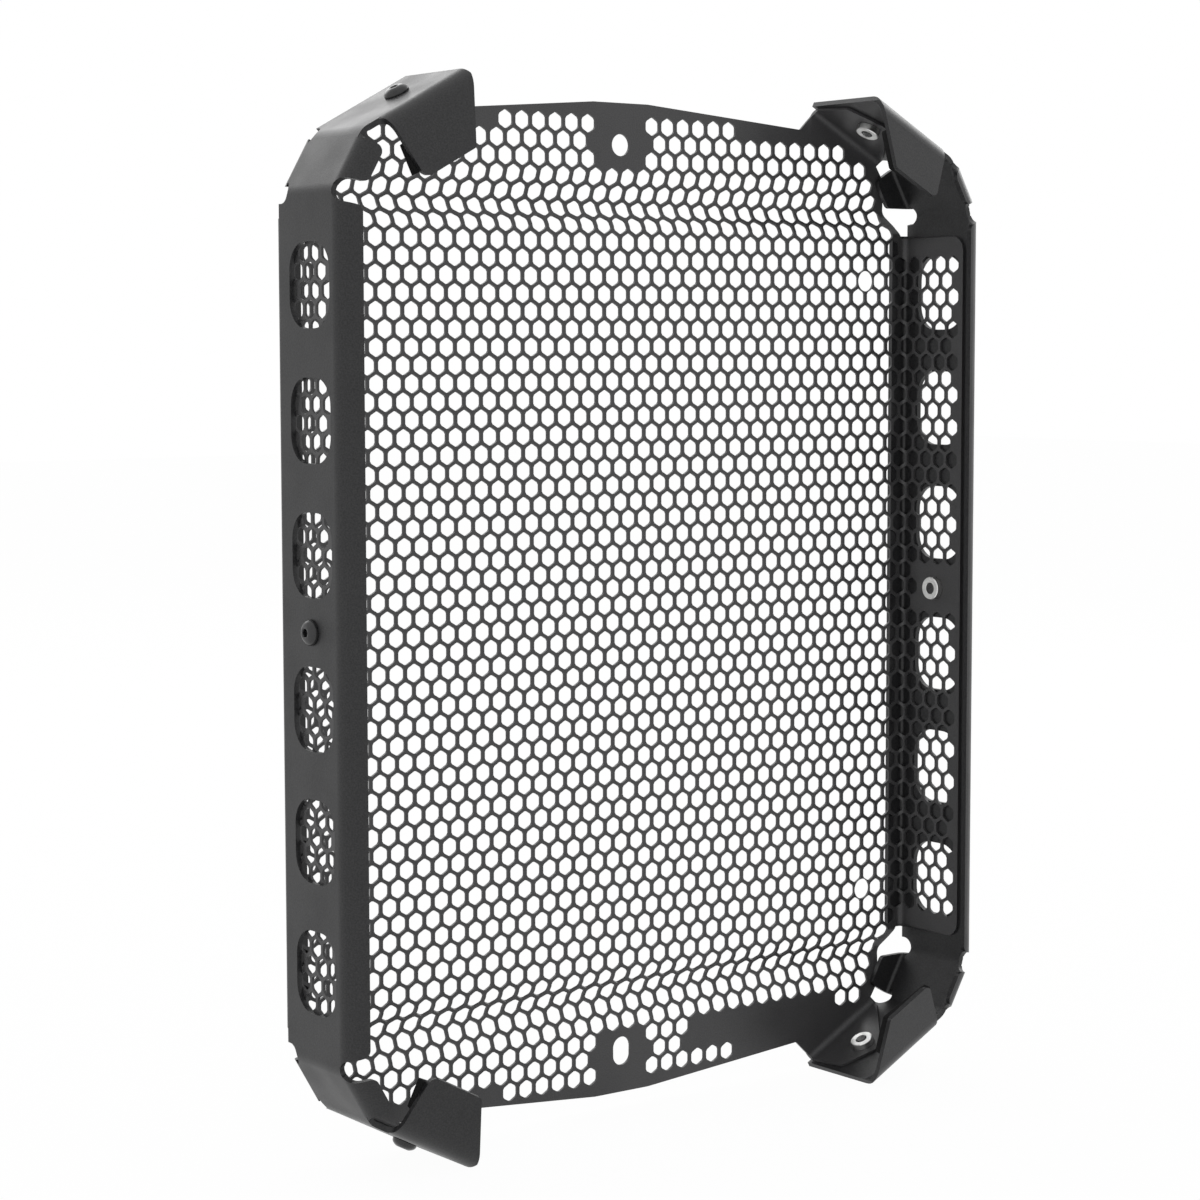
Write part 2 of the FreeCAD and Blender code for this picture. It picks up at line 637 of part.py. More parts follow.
def panel_holes():
    """Hexagonal holes of the panel, on a triangular lattice that is level with X."""
    outline = full_outline()
    reach = HOLE_ACROSS / math.sqrt(3)
    round_places = [(0, TOP_HOLE_HEIGHT, BOSS_RADIUS), (0, -SLOT_HEIGHT, BOSS_RADIUS)]
    round_places += [(x, z, PAD_RADIUS) for x, z in corner_holes()]
    cutters = []
    for row, z in lattice_rows():
        columns = int(FRAME_HALF_WIDTH / HOLE_PITCH) + 1
        for column in range(-columns, columns + 1):
            x = (column + 0.5 * (row % 2)) * HOLE_PITCH
            tips = [(x + reach * math.cos(math.radians(a)), z + reach * math.sin(math.radians(a)))
                    for a in range(30, 390, 60)]
            if not all(inside(tx, tz, outline, FIELD_MARGIN) for tx, tz in tips):
                continue
            if max(abs(tx) for tx, tz in tips) > FLANGE_OUTER - FOLD_OUTER - FOLD_MARGIN:
                continue
            if any(math.hypot(x - px, z - pz) < HOLE_ACROSS / 2 + radius
                   for px, pz, radius in round_places):
                continue
            cutters.append(hexagon(Vector(x, -20, z), Vector(1, 0, 0), Vector(0, 0, 1),
                                   HOLE_ACROSS, Vector(0, 40, 0)))
    return cutters


def flange_holes():
    """One zigzag column of the same holes down each side flange, clear of the clinch nut."""
    low = -SIDE_FLANGE_DEPTH + FLANGE_MARGIN
    high = -MESH_SHEET / 2 - MESH_BEND - FLANGE_MARGIN
    middle = (low + high) / 2
    sway = min(HOLE_PITCH / 2, high - low - HOLE_ACROSS) / 2
    nut_y = BACK - SIDE_SCREW_SETBACK
    cutters = []
    for row, z in lattice_rows():
        y = middle + (sway if row % 2 else -sway)
        if abs(z) + HOLE_ACROSS / math.sqrt(3) > SIDE_FLANGE_HALF - FLANGE_MARGIN:
            continue
        if math.hypot(y - nut_y, z) < HOLE_ACROSS / 2 + NUT_DIAMETER / 2:
            continue
        cutters.append(hexagon(Vector(FLANGE_OUTER + 10, y, z), Vector(0, 1, 0), Vector(0, 0, 1),
                               HOLE_ACROSS, Vector(-20, 0, 0)))
        cutters.append(mirrored_x(cutters[-1]))
    return cutters


def corner_holes():
    return [(sx * MOUNT_SPACING_X / 2, sz * MOUNT_SPACING_Z / 2)
            for sx in (1, -1) for sz in (1, -1)]


def mount_cutters():
    """Four outer mounting holes, the top middle hole and the bottom middle slot."""
    push = Vector(0, 1, 0)
    cutters = []
    for x, z in corner_holes() + [(0, TOP_HOLE_HEIGHT)]:
        cutters.append(Part.makeCylinder(MOUNT_HOLE / 2, 40, Vector(x, -20, z), push))
    run = (SLOT_LENGTH - MOUNT_HOLE) / 2
    ends = [Part.makeCylinder(MOUNT_HOLE / 2, 40, Vector(0, -20, z - SLOT_HEIGHT), push)
            for z in (run, -run)]
    middle = Part.makeBox(MOUNT_HOLE, 40, 2 * run, Vector(-MOUNT_HOLE / 2, -20, -SLOT_HEIGHT - run))
    return cutters + [ends[0].fuse([ends[1], middle])]


def nut_cutters():
    """Holes for the clinch nuts, in the right flange and the right corner tabs."""
    cutters = []
    for name, (place, axis) in screw_places().items():
        hole = Part.makeCylinder(NUT_PILOT / 2, FRAME_SHEET + 4 * MESH_SHEET,
                                 place + axis * FRAME_SHEET / 2, axis)
        cutters += both_ends(hole) if name == "top" else [hole]
    return cutters


def mesh_panel():
    outline = full_outline()
    blank = prism([p + Vector(0, -20, 0) for p in outline], Vector(0, 40, 0))
    sheet = creased_sheet().common(blank)
    right = [side_flange()] + both_ends(corner_tab())
    flanges = right + [mirrored_x(shape) for shape in right]
    sheet = sheet.fuse(flanges)
    nuts = nut_cutters()
    nuts += [mirrored_x(shape) for shape in nuts]
    sheet = sheet.removeSplitter().cut(nuts + mount_cutters())
    return sheet.cut(panel_holes() + flange_holes())


# Fasteners, made with the outer face of the frame at height nought and turned into place

def screw():
    """Button head socket screw, its head above nought. The domed head is drawn as a cone."""
    head = HEAD_DIAMETER / 2
    shank = THREAD / 2 - THREAD_CLEARANCE
    points = [
        Vector(0, 0, -SCREW_LENGTH),
        Vector(shank, 0, -SCREW_LENGTH),
        Vector(shank, 0, 0),
        Vector(head, 0, 0),
        Vector(HEAD_FLAT / 2, 0, HEAD_HEIGHT),
        Vector(0, 0, HEAD_HEIGHT),
    ]
    outline = Part.Face(Part.makePolygon(points + [points[0]]))
    body = outline.revolve(Vector(0, 0, 0), Vector(0, 0, 1), 360)
    socket = hexagon(Vector(0, 0, HEAD_HEIGHT - SOCKET_DEPTH), Vector(1, 0, 0), Vector(0, 1, 0),
                     SOCKET_ACROSS, Vector(0, 0, SOCKET_DEPTH + 1))
    return body.cut(socket)


def nut():
    """Clinch nut: a pilot in the panel's sheet and a round body inside it."""
    bore = THREAD / 2
    pilot = NUT_PILOT / 2 - NUT_PILOT_CLEARANCE
    body = NUT_DIAMETER / 2
    seat = -FRAME_SHEET - MESH_SHEET
    points = [
        Vector(bore, 0, -FRAME_SHEET),
        Vector(pilot, 0, -FRAME_SHEET),
        Vector(pilot, 0, seat),
        Vector(body, 0, seat),
        Vector(body, 0, seat - NUT_HEIGHT),
        Vector(bore, 0, seat - NUT_HEIGHT),
    ]
    outline = Part.Face(Part.makePolygon(points + [points[0]]))
    return outline.revolve(Vector(0, 0, 0), Vector(0, 0, 1), 360)


def fastened(shape, place, axis):
    """A fastener moved to its place on the right frame, its head facing out."""
    moved = shape.copy()
    moved.Placement = FreeCAD.Placement(place, FreeCAD.Rotation(Vector(0, 0, -1), axis))
    return moved


def fasteners():
    pieces = {}
    for kind, shape in (("screw", screw()), ("nut", nut())):
        for name, (place, axis) in screw_places().items():
            right = fastened(shape, place, axis)
            pieces[f"{kind}_right_{name}"] = right
            pieces[f"{kind}_left_{name}"] = mirrored_x(right)
            if name == "top":
                pieces[f"{kind}_right_bottom"] = mirrored_z(right)
                pieces[f"{kind}_left_bottom"] = mirrored_x(mirrored_z(right))
    return pieces


def main():
    frame = right_frame()
    pieces = {"mesh_panel": mesh_panel(), "frame_right": frame, "frame_left": mirrored_x(frame)}
    pieces.update(fasteners())
    os.makedirs("parts", exist_ok=True)
    for name, shape in pieces.items():
        solids = shape.Solids
        solid = solids[0] if len(solids) == 1 else shape
        solid.exportStep(f"parts/{name}.step")
        print(name, "solids", len(solids), "valid", shape.isValid(),
              "volume", round(shape.Volume, 1))


main()
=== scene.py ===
# %% [markdown]
# # A radiator guard for a motorcycle
# The real guard is three pieces of folded sheet: a perforated panel of 1 mm sheet, and a frame of
# 2 mm sheet on its left and on its right. Six button head screws hold them together, each in a
# clinch nut that is pressed into the panel. The CAD model brings every piece at its real place and
# size, so this file starts from that model. It then redraws what the CAD model draws plainly: the
# fine mesh of the panel, the screws and the nuts. It adds the thin pads behind the corner lips.
# The frames keep their CAD shape.

# %% Load the CAD frame
import math

import bpy
import numpy as np
from mathutils import Matrix, Vector
from mathutils.geometry import delaunay_2d_cdt


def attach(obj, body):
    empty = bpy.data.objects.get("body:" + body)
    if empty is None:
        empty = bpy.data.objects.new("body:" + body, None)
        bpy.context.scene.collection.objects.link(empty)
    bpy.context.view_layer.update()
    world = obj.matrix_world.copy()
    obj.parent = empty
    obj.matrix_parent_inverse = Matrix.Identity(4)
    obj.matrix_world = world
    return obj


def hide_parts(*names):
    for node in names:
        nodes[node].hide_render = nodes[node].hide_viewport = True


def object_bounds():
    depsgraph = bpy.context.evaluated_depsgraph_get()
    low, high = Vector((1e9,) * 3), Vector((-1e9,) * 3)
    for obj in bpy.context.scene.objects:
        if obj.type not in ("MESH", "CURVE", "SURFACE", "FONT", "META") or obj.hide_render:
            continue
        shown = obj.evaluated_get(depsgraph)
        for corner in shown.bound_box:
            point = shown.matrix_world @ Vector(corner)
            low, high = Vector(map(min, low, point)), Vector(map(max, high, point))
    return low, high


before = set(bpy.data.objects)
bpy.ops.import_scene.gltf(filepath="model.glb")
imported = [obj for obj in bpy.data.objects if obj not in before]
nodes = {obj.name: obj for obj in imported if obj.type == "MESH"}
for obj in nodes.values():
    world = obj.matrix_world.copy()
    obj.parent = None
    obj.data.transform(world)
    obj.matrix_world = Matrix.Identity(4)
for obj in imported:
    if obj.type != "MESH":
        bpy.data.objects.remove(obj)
cad_box = [list(corner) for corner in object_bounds()]
MM = 0.001
print("CAD box in mm", np.round(np.array(cad_box) / MM, 1).tolist())

# %% [markdown]
# ## Helpers for meshes
# Every new piece is worked out as numpy arrays in millimetres and then becomes a mesh in metres.
# A piece's object stays at the origin, so its place is in its vertices, like the CAD nodes. Edges
# sharper than a limit are marked sharp and the rest of the surface is shaded smooth, because folded
# sheet has round bends and crisp cut edges.

# %% Build an object from arrays
def new_piece(name, places, faces, sharp=35.0):
    """A mesh object from an array of places in millimetres and a list of faces."""
    mesh = bpy.data.meshes.new(name)
    mesh.from_pydata((places * MM).tolist(), [], faces)
    mesh.polygons.foreach_set("use_smooth", np.ones(len(mesh.polygons), bool))
    mesh.set_sharp_from_angle(angle=math.radians(sharp))
    mesh.update()
    piece = bpy.data.objects.new(name, mesh)
    bpy.context.scene.collection.objects.link(piece)
    triangles = sum(len(polygon.vertices) - 2 for polygon in mesh.polygons)
    print(name, "has", len(mesh.vertices), "vertices and", triangles, "triangles")
    return piece


# %% [markdown]
# ## Materials
# The frames and the panel have a satin black powder coat. Powder melts into a skin with a fine
# orange peel, so it is black plastic to the eye: a dark base, a soft gloss, and a bump of grains
# about half a millimetre wide. A second, broader noise varies the gloss a little, because a coat is
# never even. The patterns read Object coordinates, which are metres here.

# %% Powder coat
def noise(tree, place, scale, detail=2.0, roughness=0.5):
    texture = tree.nodes.new("ShaderNodeTexNoise")
    texture.inputs["Scale"].default_value = scale
    texture.inputs["Detail"].default_value = detail
    texture.inputs["Roughness"].default_value = roughness
    tree.links.new(place.outputs["Object"], texture.inputs["Vector"])
    return texture


def mapped(tree, source, low, high, from_low=0.3, from_high=0.7):
    """A noise value spread from one range to another."""
    spread = tree.nodes.new("ShaderNodeMapRange")
    spread.inputs["From Min"].default_value = from_low
    spread.inputs["From Max"].default_value = from_high
    spread.inputs["To Min"].default_value = low
    spread.inputs["To Max"].default_value = high
    tree.links.new(source, spread.inputs["Value"])
    return spread.outputs["Result"]


def coloured(tree, source, dark, light):
    """A colour between two, by a noise value."""
    ramp = tree.nodes.new("ShaderNodeValToRGB")
    ramp.color_ramp.elements[0].position = 0.35
    ramp.color_ramp.elements[0].color = (*dark, 1)
    ramp.color_ramp.elements[1].position = 0.65
    ramp.color_ramp.elements[1].color = (*light, 1)
    tree.links.new(source, ramp.inputs["Fac"])
    return ramp.outputs["Color"]


def powder_coat(name, dark, light, gloss, grain, depth, level=0.5):
    material = bpy.data.materials.new(name)
    material.use_nodes = True
    tree = material.node_tree
    shader = tree.nodes["Principled BSDF"]
    shader.inputs["Specular IOR Level"].default_value = level
    place = tree.nodes.new("ShaderNodeTexCoord")
    fine = noise(tree, place, grain, detail=3.0, roughness=0.6)
    broad = noise(tree, place, 60.0)
    tree.links.new(coloured(tree, fine.outputs["Fac"], dark, light), shader.inputs["Base Color"])
    tree.links.new(mapped(tree, broad.outputs["Fac"], *gloss), shader.inputs["Roughness"])
    bump = tree.nodes.new("ShaderNodeBump")
    bump.inputs["Strength"].default_value = 0.5
    bump.inputs["Distance"].default_value = depth
    tree.links.new(fine.outputs["Fac"], bump.inputs["Height"])
    tree.links.new(bump.outputs["Normal"], shader.inputs["Normal"])
    return material


frame_coat = powder_coat("frame_powder_coat", (0.010, 0.010, 0.011), (0.026, 0.026, 0.027),
                         (0.34, 0.44), grain=1700.0, depth=0.00008, level=0.4)
mesh_coat = powder_coat("mesh_powder_coat", (0.034, 0.034, 0.035), (0.056, 0.055, 0.057),
                        (0.36, 0.48), grain=2000.0, depth=0.00004)
print("coats:", frame_coat.name, mesh_coat.name)

# %% [markdown]
# The screws are steel with a black oxide, which is smoother and a little deeper in colour than
# powder. The nuts are zinc plated, so they are metal to the shader, with faint turning marks.

# %% Steel of the screws and nuts
def steel(name, dark, light, metal, gloss, grain):
    material = bpy.data.materials.new(name)
    material.use_nodes = True
    tree = material.node_tree
    shader = tree.nodes["Principled BSDF"]
    shader.inputs["Metallic"].default_value = metal
    place = tree.nodes.new("ShaderNodeTexCoord")
    marks = noise(tree, place, grain, detail=2.0)
    tree.links.new(coloured(tree, marks.outputs["Fac"], dark, light), shader.inputs["Base Color"])
    tree.links.new(mapped(tree, marks.outputs["Fac"], *gloss), shader.inputs["Roughness"])
    return material


oxide = steel("black_oxide", (0.014, 0.014, 0.015), (0.024, 0.024, 0.025), 0.0, (0.18, 0.26), 600.0)
zinc = steel("zinc_plate", (0.68, 0.68, 0.67), (0.78, 0.78, 0.765), 1.0, (0.28, 0.36), 260.0)
print("steels:", oxide.name, zinc.name)

# %% [markdown]
# ## The panel's flat pattern
# A sheet metal shop lasers the panel flat and then folds it. This file does the same. The flat
# pattern has two lengths: a runs across and b runs up, both measured along the sheet. Folding keeps
# lengths along the middle of the sheet, so a hole near a fold bends with it, as on the real panel.
#
# The two stiffening creases come first: a gentle fold back, a ridge and a fold forward again,
# above and below the mesh. Each bend turns the sheet's heading. The heading is added up along b to
# give height and depth.

# %% Creases
CREASE_BENDS = np.array([(147.8, 31.07, 2.5), (156.91, -52.14, 2.5), (169.98, 21.07, 2.5)])


def crease_table():
    """Along b: the heading in radians, and height and depth in millimetres.

    Each bend of t degrees and radius r turns the heading evenly over a length of r times t.
    Height is the running sum of the cosine of the heading, and depth that of its sine."""
    along = np.arange(0.0, 215.0, 0.05)
    middle, turn, radius = CREASE_BENDS.T[:, :, None]
    turn = np.radians(turn)
    width = radius * np.abs(turn)
    share = np.clip((along - middle) / width + 0.5, 0.0, 1.0)
    heading = (turn * share).sum(axis=0)
    step = np.gradient(along)
    height = np.cumsum(np.cos(heading) * step) - step[0]
    depth = np.cumsum(np.sin(heading) * step)
    return along, heading, height, depth


ALONG, HEADING, HEIGHT, DEPTH = crease_table()
LIFT = float(ALONG[-1] - HEIGHT[-1])
print("a crease takes up", round(LIFT, 2), "mm and ends", round(float(DEPTH[-1]), 3), "mm off")


def flat_height(height):
    """The b of a place on the folded panel, from its height."""
    return float(np.interp(height, HEIGHT, ALONG))


# %% [markdown]
# The corner of the guard is two slanted strips, called chamfers. Places near them are easiest to
# give along the chamfer and in from it, as on a drawing, and are then turned into a and b.

# %% Chamfers of the corner
FRAME_SHEET = 2.0
FOLD_RADIUS = 3.0
FOLD_START = 148.5
ARC = FOLD_RADIUS * math.pi / 2
TAB_FOLD = 5.5


class Chamfer:
    """One slanted side of the outline: its lower corner and its angle from upright."""

    def __init__(self, x, z, angle):
        turn = math.radians(angle)
        self.start = np.array([x, z])
        self.run = np.array([-math.sin(turn), math.cos(turn)])
        self.inward = np.array([-math.cos(turn), -math.sin(turn)])

    def flat(self, along, inward):
        """The (a, b) of a place that far along the chamfer and in from its outer face."""
        place = self.start + self.run * along + self.inward * inward
        return np.array([place[0], place[1] + LIFT])


lower_chamfer = Chamfer(154.0, 156.8, 30.0)
upper_chamfer = Chamfer(141.9, 177.76, 61.7)

# %% [markdown]
# ## The outline and the holes
# The outline is one quarter, mirrored twice. Its corners are rounded by arcs, all worked out in one
# go from the two edges that meet at each corner.

# %% Outline of the flat panel
def tab_spot(along, beyond):
    """A place on a corner tab, measured beyond the start of its fold."""
    return upper_chamfer.flat(along, TAB_FOLD - beyond)


FLANGE_EDGE = FOLD_START + ARC + 32.0
TAB_EDGE = ARC + 24.3
quarter = [
    ((13.3, flat_height(195.6)), 3.0),
    ((92.2, flat_height(189.2)), 1.5),
    (tab_spot(46.5, 0.0), 0.3),
    (tab_spot(46.5, ARC), 0.3),
    (tab_spot(44.5, TAB_EDGE), 9.0),
    (tab_spot(28.5, TAB_EDGE), 6.0),
    (tab_spot(6.0, ARC), 2.0),
    (tab_spot(6.0, 0.0), 0.3),
    (lower_chamfer.flat(20.2, 7.5), 1.0),
    (lower_chamfer.flat(6.8, 10.9), 2.0),
    ((145.9, flat_height(151.3)), 1.0),
    ((FOLD_START, 146.5), 0.5),
    ((FLANGE_EDGE, 146.5), 6.0),
]


def rounded(corners, radii, count=5):
    """A closed outline with each corner replaced by an arc.

    The arc's centre lies on the line that halves the corner, at radius over the sine of half the
    corner's angle. Its points swing evenly from one edge to the other."""
    back = np.roll(corners, 1, axis=0) - corners
    ahead = np.roll(corners, -1, axis=0) - corners
    back /= np.linalg.norm(back, axis=1, keepdims=True)
    ahead /= np.linalg.norm(ahead, axis=1, keepdims=True)
    half = np.arccos(np.clip((back * ahead).sum(axis=1), -1, 1))[:, None] / 2
    halving = (back + ahead) / np.linalg.norm(back + ahead, axis=1, keepdims=True)
    radius = np.asarray(radii)[:, None]
    centre = corners + halving * radius / np.sin(half)
    first = corners + back * radius / np.tan(half) - centre
    last = corners + ahead * radius / np.tan(half) - centre
    sweep = (math.pi - 2 * half)[:, None]
    share = np.linspace(0, 1, count)[None, :, None]
    arc = (np.sin((1 - share) * sweep) * first[:, None] + np.sin(share * sweep) * last[:, None])
    return (centre[:, None] + arc / np.sin(sweep)).reshape(-1, 2)


corners = np.array([place for place, radius in quarter])
radii = np.array([radius for place, radius in quarter])
right = np.concatenate([corners, corners[::-1] * (1, -1)])
ring = np.concatenate([right, right[::-1] * (-1, 1)])
outline = rounded(ring, np.concatenate([radii, radii[::-1]] * 2))[::-1]
print("outline has", len(outline), "points")

# %% [markdown]
# The mesh is a honeycomb: hexagons 6.5 mm across, 7.8 mm apart, that stand on a point. Each row is
# shifted by half a pitch. A hole is punched only where enough sheet is left: 5 mm from every edge
# and from the corner folds, and further from the middle mounting places and the side nuts. Each
# corner mounting hole takes the place of one hexagon. The outermost rows are short, and one patch
# at the bottom right is left without holes, as on the real panel.

# %% Where the hexagons go
PITCH = 7.8
RISE = PITCH * math.sqrt(0.75)
EDGE = 5.0
BARE_ROUND_MOUNT = 12.5
BARE_ROUND_NUT = 13.2
BARE_ROUND_CORNER_HOLE = 3.0
OUTER_ROW = 28
OUTER_ROW_REACH = 8
CORNER_ENDS_AT = 148
PATCH_ROWS = (-27, -26)
PATCH_FROM, PATCH_TO = 4.2, 14.8
nut_a = FOLD_START + ARC + 16.75
top_hole = np.array([0.0, flat_height(179.4)])
bottom_slot = np.array([0.0, -flat_height(179.0)])
bare_places = [(top_hole, BARE_ROUND_MOUNT), (bottom_slot, BARE_ROUND_MOUNT),
               (np.array([nut_a, 0.0]), BARE_ROUND_NUT),
               (np.array([-nut_a, 0.0]), BARE_ROUND_NUT)]
corner_holes = np.array([(128.7, 128.3), (-128.7, 128.3), (-128.7, -128.3), (128.7, -128.3)])
bare_places += [(place, BARE_ROUND_CORNER_HOLE) for place in corner_holes]


def beside_outline(points):
    """Distance of each point from the outline, below nought where the point is outside it."""
    first = outline[None]
    run = np.roll(outline, -1, axis=0)[None] - first
    lead = points[:, None] - first
    share = np.clip((lead * run).sum(axis=2) / (run ** 2).sum(axis=2), 0, 1)
    away = np.linalg.norm(lead - run * share[..., None], axis=2).min(axis=1)
    last_b = first[..., 1] + run[..., 1]
    spans = (first[..., 1] > points[:, None, 1]) != (last_b > points[:, None, 1])
    rise = np.where(run[..., 1] == 0, 1e-9, run[..., 1])
    crossing = first[..., 0] + (points[:, None, 1] - first[..., 1]) / rise * run[..., 0]
    inside = (spans & (points[:, None, 0] < crossing)).sum(axis=1) % 2 == 1
    return np.where(inside, away, -away)


def hexagon_centres():
    """Every place of the honeycomb that keeps a hole: (a, b) of its middle."""
    rows = np.arange(-OUTER_ROW, OUTER_ROW + 1)
    row, column = np.meshgrid(rows, np.arange(-24, 25), indexing="ij")
    across = column + 0.5 * (row % 2)
    places = np.stack([across * PITCH, row * RISE], axis=-1).reshape(-1, 2)
    row, across = row.ravel(), across.ravel()
    keep = beside_outline(places) > EDGE
    for spot, radius in bare_places:
        keep &= np.linalg.norm(places - spot, axis=1) > radius
    corner = np.abs(places) - upper_chamfer.flat(0, TAB_FOLD)
    clear_of_fold = (corner * upper_chamfer.inward).sum(axis=1) > EDGE
    keep &= clear_of_fold | (np.abs(places[:, 0]) > CORNER_ENDS_AT)
    keep &= ~(np.isin(row, PATCH_ROWS) & (across > PATCH_FROM) & (across < PATCH_TO))
    keep &= (np.abs(row) < OUTER_ROW) | (np.abs(across) <= OUTER_ROW_REACH)
    return places[keep]


centres = hexagon_centres()
print("the panel has", len(centres), "hexagons")

# %% [markdown]
# ## From outline and holes to triangles
# The flat sheet with its holes is cut into triangles by a constrained Delaunay triangulation, which
# keeps the outline, the holes' edges and the bend lines as edges. It says for each triangle which of
# the given loops hold it: the outline alone holds the sheet, and a hole's triangles are in two loops.

# %% Loops and bend lines
def hexagon_loops(middles, across=6.5, corner=0.95):
    """Hexagons that stand on a point, each corner cut by two points of its rounding."""
    angles = np.radians(30 + 60 * np.arange(6))
    tips = np.stack([np.cos(angles), np.sin(angles)], axis=1) * across / math.sqrt(3)
    back = np.roll(tips, 1, axis=0) - tips
    ahead = np.roll(tips, -1, axis=0) - tips
    side = np.linalg.norm(ahead[0])
    cut = corner * math.tan(math.radians(30)) / side
    pairs = np.stack([tips + back * cut, tips + ahead * cut], axis=1).reshape(-1, 2)
    return middles[:, None] + pairs[None]


def circle(middle, radius, count):
    angles = np.linspace(0, 2 * math.pi, count, endpoint=False)
    return middle + radius * np.stack([np.cos(angles), np.sin(angles)], axis=1)


def upright_slot(middle, radius, length, count=20):
    """A slot with round ends: a circle whose upper and lower halves are moved apart."""
    ring = circle(np.zeros(2), radius, 2 * count)
    shift = np.where(ring[:, 1:] >= 0, 1, -1) * (length / 2 - radius)
    return middle + ring + shift * (0, 1)


SIGNS = np.array([(1, 1), (1, -1), (-1, 1), (-1, -1)])
MOUNT_RADIUS = 4.25
SLOT_LENGTH = 11.5
NUT_HOLE_RADIUS = 3.2
tab_nut = tab_spot(30.5, ARC + 15.5)
loops = [outline, circle(top_hole, MOUNT_RADIUS, 40),
         upright_slot(bottom_slot, MOUNT_RADIUS, SLOT_LENGTH)]
loops += [circle(place, MOUNT_RADIUS, 40) for place in corner_holes]
loops += [circle(tab_nut * sign, NUT_HOLE_RADIUS, 24) for sign in SIGNS]
loops += [circle(np.array([nut_a * sign, 0.0]), NUT_HOLE_RADIUS, 24) for sign in (1, -1)]
loops += list(hexagon_loops(centres))

shares = np.linspace(0, 1, 7)
bend_lines = [((side * (FOLD_START + ARC * t), -146.4), (side * (FOLD_START + ARC * t), 146.4))
              for t in shares for side in (1, -1)]
for middle, turn, radius in CREASE_BENDS:
    width = radius * math.radians(abs(turn))
    for b in middle + width * np.linspace(-0.5, 0.5, 4):
        bend_lines += [((-150, side * b), (150, side * b)) for side in (1, -1)]
for t in shares:
    ends = np.array([tab_spot(6.02, ARC * t), tab_spot(46.48, ARC * t)])
    bend_lines += [(ends[0] * sign, ends[1] * sign) for sign in SIGNS]
bend_lines = np.array(bend_lines)
print(len(loops), "loops and", len(bend_lines), "bend lines")

# %% Triangles of the flat sheet
def flat_triangles():
    """Places (a, b) and triangles of the flat sheet, without its holes."""
    sizes = np.array([len(loop) for loop in loops])
    starts = np.concatenate([[0], np.cumsum(sizes)])
    faces = [list(range(start, start + size)) for start, size in zip(starts[:-1], sizes)]
    places = np.concatenate(loops + [bend_lines.reshape(-1, 2)])
    edges = (starts[-1] + np.arange(2 * len(bend_lines)).reshape(-1, 2)).tolist()
    found = delaunay_2d_cdt([Vector(place) for place in places], edges, faces, 0, 1e-5)
    held_once = np.array([len(held) == 1 for held in found[5]])
    return np.array([tuple(place) for place in found[0]]), np.array(found[2])[held_once]


flat_places, triangles = flat_triangles()
print("flat sheet:", len(flat_places), "places and", len(triangles), "triangles")

# %% [markdown]
# ## Folding the sheet
# Folding is one function from (a, b) to a place in space and the way the sheet's back faces there.
# Past the start of a fold the sheet follows a quarter circle of 3 mm and then runs straight forward.
# The side folds need only a, the creases only b, and a corner tab the distance beyond its fold.

# %% Fold and thicken
def bend(beyond):
    """Outward reach, forward reach and turn of a sheet that far beyond the start of a fold."""
    turn = np.clip(beyond / FOLD_RADIUS, 0, math.pi / 2)
    forward = FOLD_RADIUS * (1 - np.cos(turn)) + np.maximum(beyond - ARC, 0)
    return FOLD_RADIUS * np.sin(turn), forward, turn


def folded(places):
    """Place in space and backward normal of flat places, for all four quarters at once."""
    side, end = np.where(places < 0, -1, 1).T
    a, b = np.abs(places).T
    heading = np.interp(b, ALONG, HEADING)
    height = np.interp(b, ALONG, HEIGHT)
    depth = np.interp(b, ALONG, DEPTH)
    out, forward, turn = bend(a - FOLD_START)
    x = np.minimum(a, FOLD_START) + out
    space = np.stack([x, depth - forward, height], axis=1)
    normal = np.stack([np.sin(turn), np.cos(turn) * np.cos(heading), -np.sin(heading)], axis=1)

    corner = np.stack([a, height], axis=1) - upper_chamfer.start
    along = (corner * upper_chamfer.run).sum(axis=1)
    beyond = TAB_FOLD - (corner * upper_chamfer.inward).sum(axis=1)
    on_tab = (beyond > 0) & (a < FOLD_START)
    out, forward, turn = bend(beyond)
    reach = TAB_FOLD - out
    spot = upper_chamfer.start + upper_chamfer.run * along[:, None]
    spot = spot + upper_chamfer.inward * reach[:, None]
    tab = np.stack([spot[:, 0], -forward, spot[:, 1]], axis=1)
    out_x, out_z = -upper_chamfer.inward
    tab_normal = np.stack([np.sin(turn) * out_x, np.cos(turn), np.sin(turn) * out_z], axis=1)
    space = np.where(on_tab[:, None], tab, space)
    normal = np.where(on_tab[:, None], tab_normal, normal)
    mirror = np.stack([side, np.ones(len(side)), end], axis=1)
    return space * mirror, normal * mirror


def thick_sheet(places, faces, sheet):
    """Front and back of the folded sheet, half its thickness each way, joined along every edge.

    An edge that belongs to one triangle only is an edge of the sheet and gets a wall."""
    middle, normal = folded(places)
    count = len(places)
    space = np.concatenate([middle - normal * sheet / 2, middle + normal * sheet / 2])
    edges = np.concatenate([faces[:, (0, 1)], faces[:, (1, 2)], faces[:, (2, 0)]])
    ends = np.sort(edges, axis=1)
    code = ends[:, 0] * count + ends[:, 1]
    unique, where, uses = np.unique(code, return_index=True, return_counts=True)
    first, last = edges[where[uses == 1]].T
    walls = np.stack([first, first + count, last + count, last], axis=1)
    skins = np.concatenate([faces, faces[:, ::-1] + count])
    used = np.unique(np.concatenate([skins.ravel(), walls.ravel()]))
    number = np.zeros(2 * count, int)
    number[used] = np.arange(len(used))
    return space[used], number[skins].tolist() + number[walls].tolist()


panel = new_piece("panel_mesh", *thick_sheet(flat_places, triangles, 1.0))
panel.data.materials.append(mesh_coat)
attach(panel, "root")
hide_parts("mesh_panel")

